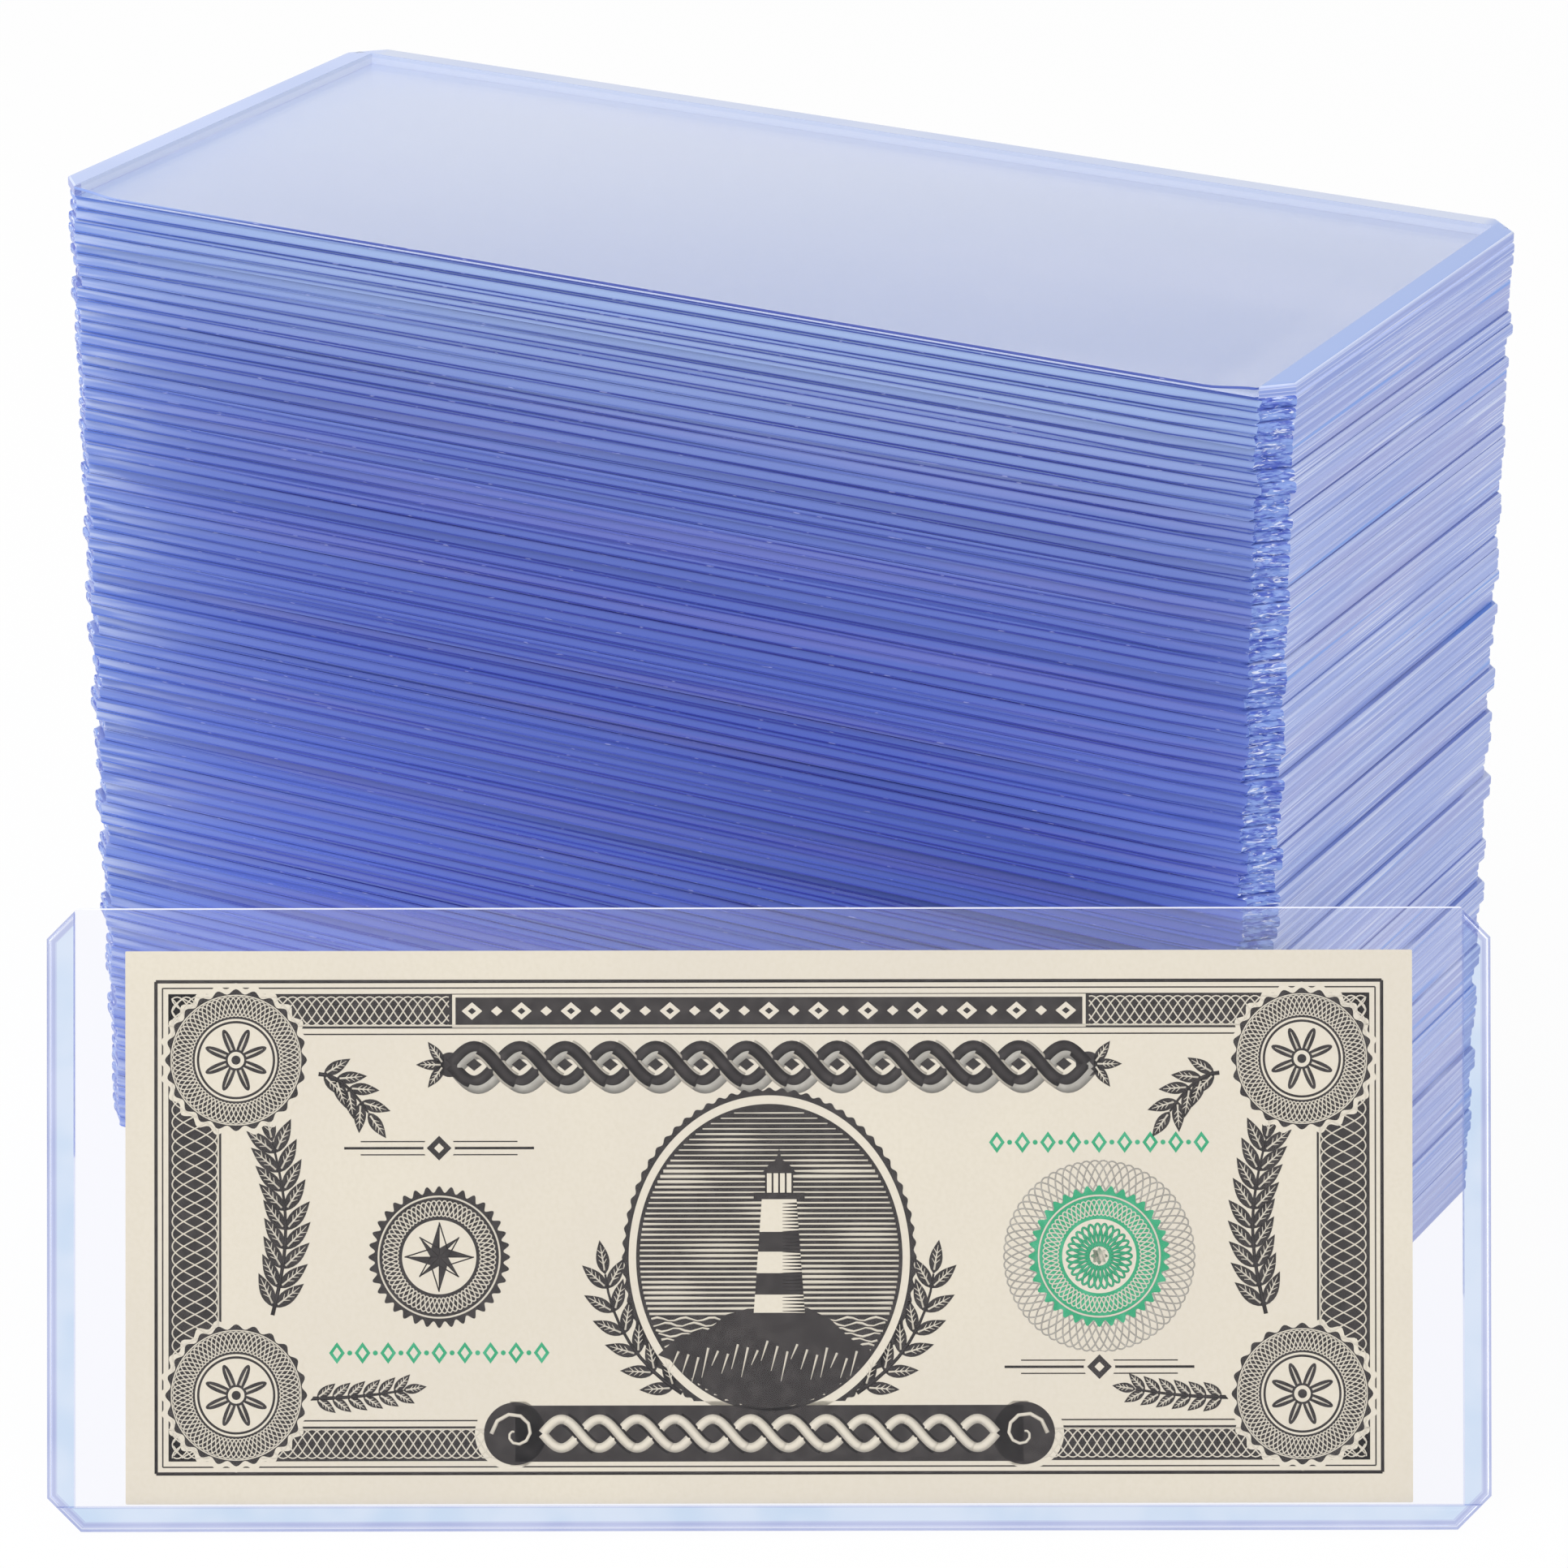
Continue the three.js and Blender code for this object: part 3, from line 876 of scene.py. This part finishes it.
def ink_finish(name, thick, thin, roughness, specular):
    """A new material for an ink, from its colour where it lies thick and where the paper drew it in."""
    def ink_colour(tree, place):
        return streaked(tree, place, thick, thin, (1.5, 1.5, 1.5), (0.4, 0.7))

    return opaque_finish(name, ink_colour, roughness, specular)


# Black ink: thick intaglio ink, matt and a little uneven where the paper drew it in.
black_ink = ink_finish("black_intaglio_ink", "#2b2624", "#3a3533", roughness=0.6, specular=0.3)

# Grey ink: a thin tint from a flat plate, pale because the paper shows through it.
grey_ink = ink_finish("grey_tint_ink", "#a5a198", "#b4b0a6", roughness=0.7, specular=0.2)

# Green ink: letterpress ink, brighter and thinner than the black.
green_ink = ink_finish("green_letterpress_ink", "#2f9f70", "#46ab80", roughness=0.6, specular=0.3)

plates, strokes = {}, {}  # for each layer of the print, what is solid and what is line


def lobed(centre, radius, depth=0.0, lobes=0, turn=0.0, count=72, stretch=1.0):
    """A closed line round a centre whose radius swings in and out. stretch makes it taller than wide."""
    points = []
    for i in range(count):
        angle = math.tau * i / count
        reach = radius + depth * math.cos(lobes * angle + turn)
        points.append((centre[0] + reach * math.cos(angle), centre[1] + stretch * reach * math.sin(angle)))
    return points


def solid(layer, outline):
    """Adds a printed solid to a layer."""
    plates.setdefault(layer, []).append(outline)


def line(layer, points, width, closed=False):
    """Adds a printed line to a layer. width is one number, or one for each point."""
    widths = width if isinstance(width, list) else [width] * len(points)
    strokes.setdefault(layer, []).append((points, widths, closed))


def ring(layer, centre, radius, depth, lobes, turns, count, width):
    """Adds a ring of lobed lines to a layer, each of them turned a little further."""
    for turn in range(turns):
        line(layer, lobed(centre, radius, depth, lobes, turn * math.tau / turns, count), width, True)


def box(layer, x, y, half_x, half_y):
    """Adds a printed rectangle to a layer."""
    left, right, low, high = x - half_x, x + half_x, y - half_y, y + half_y
    solid(layer, [(left, low), (right, low), (right, high), (left, high)])


def lozenge(layer, x, y, half_x, half_y):
    """Adds a printed lozenge to a layer."""
    solid(layer, [(x - half_x, y), (x, y - half_y), (x + half_x, y), (x, y + half_y)])


def frame_line(layer, half, width):
    """Adds a thin rectangular frame to a layer."""
    for sign in (1, -1):
        line(layer, [(-half.x, sign * half.y), (half.x, sign * half.y)], width)
        line(layer, [(sign * half.x, -half.y), (sign * half.x, half.y)], width)


def leaf(layer, foot, angle, length, width):
    """Adds a pointed leaf with a bare rib to a layer and the one above it."""
    along = Vector((math.cos(angle), math.sin(angle)))
    across = Vector((-along.y, along.x))
    steps = [i / 8 for i in range(9)]
    bulge = [width / 2 * math.sin(math.pi * s ** 0.8) for s in steps]
    upper = [foot + along * length * s + across * b for s, b in zip(steps, bulge)]
    lower = [foot + along * length * s - across * b for s, b in zip(steps, bulge)][1:-1]
    solid(layer, lower + upper[::-1])
    line(layer + 1, [foot + along * length * s for s in (0.12, 0.5, 0.85)], [0.24, 0.18, 0.06])
    for s in (0.3, 0.45, 0.6):
        for side in (1, -1):
            start = foot + along * length * s
            end = start + along * length * 0.14 + across * side * width * 0.3
            line(layer + 1, [start, end], [0.14, 0.06])


def laurel(layer, stem, length, width, pairs):
    """Adds a branch: a stem with pairs of leaves and one at its tip."""
    line(layer, stem, [0.5 - 0.25 * i / (len(stem) - 1) for i in range(len(stem))])
    for i in range(pairs):
        at = (i + 0.4) / pairs * (len(stem) - 1)
        first = min(int(at), len(stem) - 2)
        foot = stem[first].lerp(stem[first + 1], at - first)
        heading = math.atan2(*(stem[first + 1] - stem[first]).yx)
        for side in (1, -1):
            leaf(layer, foot, heading + side * math.radians(38), length, width)
    leaf(layer, stem[-1], math.atan2(*(stem[-1] - stem[-2]).yx), length, width)


def strand(x_low, y, swing, period, low, high):
    """The part between low and high of a waving strand that starts at x_low."""
    count = max(4, round((high - low) / period * 28))
    xs = [low + (high - low) * i / count for i in range(count + 1)]
    return [(x, y + swing * math.sin(math.tau * (x - x_low) / period)) for x in xs]


def braid(layer, x_low, x_high, y, swing, period, width, gap):
    """Adds two strands that pass over and under each other, with a gap round the upper one."""
    for sign in (1, -1):
        line(layer, strand(x_low, y, sign * swing, period, x_low, x_high), width)
    for k in range(1, round((x_high - x_low) / period * 2)):
        crossing = x_low + k * period / 2
        upper = swing if k % 2 else -swing
        over = strand(x_low, y, upper, period, crossing - period * 0.2, crossing + period * 0.2)
        line(layer + 1, over, width + 2 * gap)
        line(layer + 2, over, width)


# Layers: 1 is grey, 2, 4, 6 and 8 are black, 3, 5 and 7 bare paper, 12 and 13 green, and 21 is the green
# back. The last digit is a layer's height over the paper.
frame_line(2, HALF_PRINT, 0.4)
frame_line(2, HALF_PRINT - Vector((0.8, 0.8)), 0.16)

# the woven border
for sign in (1, -1):
    middle_y = sign * (BAND_HALF.y - BAND_TOP / 2)
    middle_x = sign * (BAND_HALF.x - BAND_SIDE / 2)
    box(2, 0, middle_y, BAND_HALF.x, BAND_TOP / 2)
    box(2, middle_x, 0, BAND_SIDE / 2, BAND_HALF.y)
    inner_end = PLATE_HALF + 0.8 if sign > 0 else 33.0
    for end in (1, -1):
        for turn in range(6):
            xs = [end * (inner_end + WEAVE_STEP * i) for i in range(113)]
            weave = [(x, middle_y + 1.75 * math.sin(x * math.tau / 7 + turn * math.pi / 3)) for x in xs]
            line(3, [p for p in weave if abs(p[0]) < BAND_HALF.x - 0.4], WEAVE_LINE)
    for turn in range(6):
        ys = [-27.9 + WEAVE_STEP * i for i in range(160)]
        weave = [(middle_x + 2.75 * math.sin(y * math.tau / 9 + turn * math.pi / 3), y) for y in ys]
        line(3, weave, WEAVE_LINE)
    y = sign * (BAND_HALF.y - BAND_TOP + 0.35)
    line(3, [(-BAND_HALF.x, y), (BAND_HALF.x, y)], 0.2)
    x = middle_x - sign * (BAND_SIDE / 2 - 0.35)
    line(3, [(x, -BAND_HALF.y), (x, BAND_HALF.y)], 0.2)
    x, y = BAND_HALF.x - BAND_SIDE - 0.7, sign * (BAND_HALF.y - BAND_TOP - 0.7)
    line(2, [(-x, y), (x, y)], 0.16)

# the plate in the upper band, with a row of lozenges
plate_y = BAND_HALF.y - BAND_TOP / 2
box(3, 0, plate_y, PLATE_HALF + 0.4, BAND_TOP / 2 - 0.1)
box(4, 0, plate_y, PLATE_HALF, BAND_TOP / 2 - 0.45)
for i in range(-12, 13):
    half = 1.25 if i % 2 == 0 else 0.7
    lozenge(5, 3 * i, plate_y, half, half * 0.85)
    if i % 2 == 0:
        lozenge(6, 3 * i, plate_y, 0.5, 0.4)

# the rosettes in the corners
for x in (1, -1):
    for y in (1, -1):
        spot = Vector((x * CORNER.x, y * CORNER.y))
        solid(3, lobed(spot, 9.0, 0.35, 24, count=192))
        solid(4, lobed(spot, 8.3, 0.3, 24, count=192))
        ring(5, spot, 6.5, 1.2, 12, 6, 216, 0.15)
        line(5, lobed(spot, 7.85), 0.16, True)
        solid(5, lobed(spot, 5.0))
        line(6, lobed(spot, 4.6), 0.28, True)
        solid(6, lobed(spot, 2.6, 1.4, 8, math.pi, 128))
        for petal in range(8):
            heading = math.tau * (petal + 0.5) / 8
            tip = Vector((math.cos(heading), math.sin(heading)))
            line(7, [spot + tip * 1.3, spot + tip * 3.5], [0.3, 0.08])
        solid(7, lobed(spot, 1.0))
        solid(8, lobed(spot, 0.55))

# laurel along the short sides, sprays beside the rosettes, and branches round the oval
for x in (1, -1):
    stem = [Vector((x * (60.2 - 1.6 * math.sin(math.pi * i / 12)), -10.6 + 1.75 * i)) for i in range(13)]
    laurel(2, stem, 4.6, 1.7, 9)
    stem = [Vector((x * (54.6 - 1.0 * i), 18.6 - 0.13 * i * i)) for i in range(7)]
    laurel(2, stem, 3.8, 1.5, 4)
    stem = [Vector((x * (55.6 - 1.4 * i), -20.7 + 0.015 * i * i)) for i in range(9)]
    laurel(2, stem, 2.9, 1.2, 6)
    stem = [
        OVAL + Vector((x * (OVAL_HALF.x + 4.2) * math.cos(a), (OVAL_HALF.y + 1.2) * math.sin(a)))
        for a in [math.radians(-58 + 6.5 * i) for i in range(9)]
    ]
    laurel(2, stem, 4.2, 1.6, 6)

# the bold braid under the plate, with its shadow
for swing in (BRAID_SWING, -BRAID_SWING):
    low, high = 0.5 - BRAID_HALF, 0.5 + BRAID_HALF
    line(1, strand(low, BRAID_Y - 0.6, swing, BRAID_PERIOD, low, high), 1.7)
braid(2, -BRAID_HALF, BRAID_HALF, BRAID_Y, BRAID_SWING, BRAID_PERIOD, 1.55, 0.28)
for k in range(14):
    lozenge(2, -BRAID_HALF + (k + 0.5) * BRAID_PERIOD / 2, BRAID_Y, 0.95, 0.75)
for x in (1, -1):
    solid(2, lobed((x * (BRAID_HALF + 0.2), BRAID_Y), 1.5, count=32))
    for heading in (-55, 0, 55):
        foot = Vector((x * (BRAID_HALF + 0.9), BRAID_Y))
        leaf(2, foot, math.radians(90 - x * 90 + heading), 3.4, 1.3)

# the oval with the lighthouse
tall = OVAL_HALF.y / OVAL_HALF.x
solid(2, lobed(OVAL, OVAL_HALF.x + 1.9, 0.18, 72, count=432, stretch=tall))
solid(3, lobed(OVAL, OVAL_HALF.x + 1.25, stretch=tall, count=120))
solid(4, lobed(OVAL, OVAL_HALF.x + 0.35, stretch=tall, count=120))
HORIZON, LAMP = OVAL.y - 7.0, Vector((1.2, OVAL.y + 9.6))
for row in range(56):
    y = OVAL.y - OVAL_HALF.y + 0.5 + 0.64 * row
    half = OVAL_HALF.x * math.sqrt(max(0, 1 - ((y - OVAL.y) / OVAL_HALF.y) ** 2)) - 0.1
    if half < 1:
        continue
    count = max(6, round(half / 0.35))
    xs = [-half + 2 * half * i / count for i in range(count + 1)]
    if y < HORIZON:
        line(5, [(x, y + 0.22 * math.sin(x * 1.9 + row * 2.1)) for x in xs], [
            0.16 + 0.14 * math.sin(x * 0.95 + row * 1.7) ** 2 for x in xs
        ])
    else:
        widths = []
        for x in xs:
            away = Vector((x, y)) - LAMP
            beam = max(0, 1 - abs(math.degrees(math.atan2(away.y, abs(away.x))) - 4) / 9)
            cloud = max(0, math.sin(x * 0.33 + y * 0.21 + 1) * math.sin(y * 0.72 - x * 0.08))
            widths.append(0.13 + 0.17 * (1 - (y - HORIZON) / 25) + 0.2 * beam + 0.16 * cloud)
        line(5, [(x, y) for x in xs], widths)
rock = [
    (-13.5, -15.5), (-11, -13.2), (-7.6, -12.6), (-5.2, -10.6), (-2.6, -9.9), (4.6, -9.8), (7.4, -11.2),
    (9.6, -13.4), (12.6, -15.2),
]
foot = [p for p in lobed(OVAL, OVAL_HALF.x, stretch=tall, count=90) if p[1] < -15.5]
solid(6, rock + sorted(foot, key=lambda p: -p[0]))
for i in range(19):
    start = Vector((-11 + 1.2 * i, -13.8 - 0.35 * abs(i - 9) * 0.4 - (i % 3) * 0.5))
    line(7, [start, start + Vector((-0.8, -1.8 - (i % 4) * 0.6))], [0.3, 0.08])
tower = [(-1.9, -10.4), (-0.9, 3.4), (3.3, 3.4), (4.3, -10.4)]
solid(7, tower)
for low, high in ((-8.2, -5.6), (-3.0, -0.6)):
    left = [-1.9 + (v + 10.4) / 13.8 for v in (low, high)]
    solid(8, [(left[0], low), (2.4 - left[0], low), (2.4 - left[1], high), (left[1], high)])
for i in range(32):
    y = -10.2 + 0.42 * i
    edge = 4.3 - (y + 10.4) / 13.8
    line(8, [(1.6, y), (edge, y)], [0.05, 0.26])
box(8, 1.2, 3.75, 3.1, 0.4)
box(7, 1.2, 5.3, 1.7, 1.2)
for x in (-0.4, 0.4, 1.2, 2.0, 2.8):
    line(8, [(x, 4.1), (x, 6.5)], 0.22)
solid(8, [(-0.9, 6.5), (3.3, 6.5), (2.4, 7.6), (1.5, 8.2), (1.2, 9.6), (0.9, 8.2), (0.0, 7.6)])

# the black and the green medallion
for x, layer in ((-1, 2), (1, 12)):
    spot = Vector((x * MEDALLION.x, MEDALLION.y))
    solid(layer, lobed(spot, 8.2, 0.4, 36, count=288))
    ring(3, spot, 5.9, 0.95, 16, 4, 224, 0.16)
    line(3, lobed(spot, 7.35), 0.24, True)
    solid(3, lobed(spot, 4.5))
spot = Vector((-MEDALLION.x, MEDALLION.y))
for long, wide, first in ((3.4, 0.75, 45), (4.2, 1.0, 0)):
    for k in range(4):
        heading = math.radians(first + 90 * k)
        tip = Vector((math.cos(heading), math.sin(heading)))
        side = Vector((-tip.y, tip.x))
        solid(4, [spot, spot + (tip + side) * wide, spot + tip * long])
        line(4, [spot + (tip - side) * wide, spot + tip * long], 0.16)
        line(4, [spot + tip * 0.1, spot + tip * long], 0.12)
spot = Vector(MEDALLION)
ring(13, spot, 2.6, 1.35, 9, 3, 180, 0.3)
solid(13, lobed(spot, 0.9, 0.15, 8))
ring(1, spot, 9.7, 1.9, 11, 6, 240, 0.18)

# rows of green lozenges, and plain rules
for middle_x, y in ((-MEDALLION.x, -15.2), (MEDALLION.x, 10.2)):
    for i in range(-4, 5):
        x = middle_x + 3.1 * i
        lozenge(12, x, y, 0.95, 1.3)
        lozenge(3, x, y, 0.5, 0.7)
        if i < 4:
            solid(12, lobed((x + 1.55, y), 0.3, count=12))
for middle_x, y in ((-MEDALLION.x, 9.6), (MEDALLION.x, -17.0)):
    for rise, half, width in ((0.0, 11.5, 0.3), (0.8, 9.5, 0.14), (-0.8, 9.5, 0.14)):
        line(2, [(middle_x - half, y + rise), (middle_x + half, y + rise)], width)
    solid(3, lobed((middle_x, y), 1.9, count=32))
    lozenge(4, middle_x, y, 1.5, 1.5)
    lozenge(5, middle_x, y, 0.6, 0.6)

# the cartouche at the foot
for half_x, half_y, curl, layer in ((31.4, 3.9, 4.3, 3), (30.8, 3.4, 3.8, 4)):
    box(layer, 0, CARTOUCHE_Y, half_x, half_y)
    for x in (1, -1):
        solid(layer, lobed((x * half_x, CARTOUCHE_Y), curl, count=48))
braid(5, -27.5, 27.5, CARTOUCHE_Y, 1.75, 9.166667, 1.15, 0.3)
for x in (1, -1):
    curl = []
    for i in range(13):
        reach, angle = 2.9 - 0.22 * i, 0.62 * i
        curl.append((x * (30.8 + reach * math.cos(angle)), CARTOUCHE_Y + reach * math.sin(angle)))
    line(5, curl, [0.5 - 0.02 * i for i in range(13)])

# the back: a green woven ground with one large rosette and two smaller ones
frame_line(21, HALF_PRINT, 0.4)
frame_line(21, HALF_PRINT - Vector((1.4, 1.4)), 1.0)
for turn in range(8):
    line(21, lobed((0, 0), 17, 6.5, 14, turn * math.pi / 4, 336), 0.22, True)
    for sign in (1, -1):
        xs = [-70 + 0.5 * i for i in range(281)]
        weave = [(x, sign * 23.5 + 3.2 * math.sin(x * math.tau / 14 + turn * math.pi / 4)) for x in xs]
        line(21, weave, 0.2)
        line(21, lobed((sign * 46, 0), 11, 4.2, 10, turn * math.pi / 4, 240), 0.22, True)


def print_layer(name, layer, ink, face):
    """Makes one layer of the print: its solids as thin plates, its lines as pressed tubes."""
    level = (layer % 10) * INK_STEP
    points, faces = [], []
    for outline in plates.get(layer, []):
        turn = sum(a[0] * b[1] - b[0] * a[1] for a, b in zip(outline, outline[1:] + outline[:1]))
        outline = outline if turn > 0 else outline[::-1]
        first, count = len(points), len(outline)
        points += [(x * MM, y * MM, -INK_ROOT) for x, y in outline]
        points += [(x * MM, y * MM, level) for x, y in outline]
        faces.append(list(range(first + count, first + 2 * count)))
        faces.append(list(range(first + count - 1, first - 1, -1)))
        for i in range(count):
            after = (i + 1) % count
            faces.append([first + i, first + after, first + count + after, first + count + i])
    mesh = bpy.data.meshes.new(name)
    mesh.from_pydata(points, [], faces)
    piece = bpy.data.objects.new(name, mesh)
    bpy.context.collection.objects.link(piece)

    bpy.ops.object.select_all(action="DESELECT")
    if layer in strokes:
        curve = bpy.data.curves.new(name + "_lines", "CURVE")
        curve.dimensions = "3D"
        curve.twist_mode = "Z_UP"
        curve.bevel_depth = MM / 2
        curve.bevel_resolution = 0
        curve.use_fill_caps = True
        for track, widths, closed in strokes[layer]:
            spline = curve.splines.new("POLY")
            spline.points.add(len(track) - 1)
            spline.points.foreach_set("co", [v for x, y in track for v in (x * MM, y * MM, 0.0, 1.0)])
            spline.points.foreach_set("radius", widths)
            spline.use_cyclic_u = closed
        lines = bpy.data.objects.new(name + "_lines", curve)
        bpy.context.collection.objects.link(lines)
        lines.select_set(True)
        bpy.context.view_layer.objects.active = lines
        bpy.ops.object.convert(target="MESH")
        bpy.ops.object.mode_set(mode="EDIT")
        bpy.ops.mesh.select_all(action="SELECT")
        bpy.ops.mesh.remove_doubles(threshold=INK_MERGE)
        bpy.ops.object.mode_set(mode="OBJECT")
        lines.data.transform(Matrix.Translation((0, 0, level)) @ Matrix.Diagonal((1, 1, LINE_FLATTEN, 1)))
    piece.select_set(True)
    bpy.context.view_layer.objects.active = piece
    if layer in strokes:
        bpy.ops.object.join()
    bpy.ops.object.mode_set(mode="EDIT")
    finish_piece(piece, face, "note", None, (ink,))


for name, layer, ink in (
    ("note_grey_tint", 1, grey_ink),
    ("note_black_ground", 2, black_ink),
    ("note_green_ground", 12, green_ink),
    ("note_bare_lines", 3, note_paper),
    ("note_green_lines", 13, green_ink),
    ("note_black_plates", 4, black_ink),
    ("note_bare_ornament", 5, note_paper),
    ("note_black_ornament", 6, black_ink),
    ("note_bare_detail", 7, note_paper),
    ("note_black_detail", 8, black_ink),
):
    print_layer(name, layer, ink, note_front)
print_layer("note_back_print", 21, green_ink, note_back)
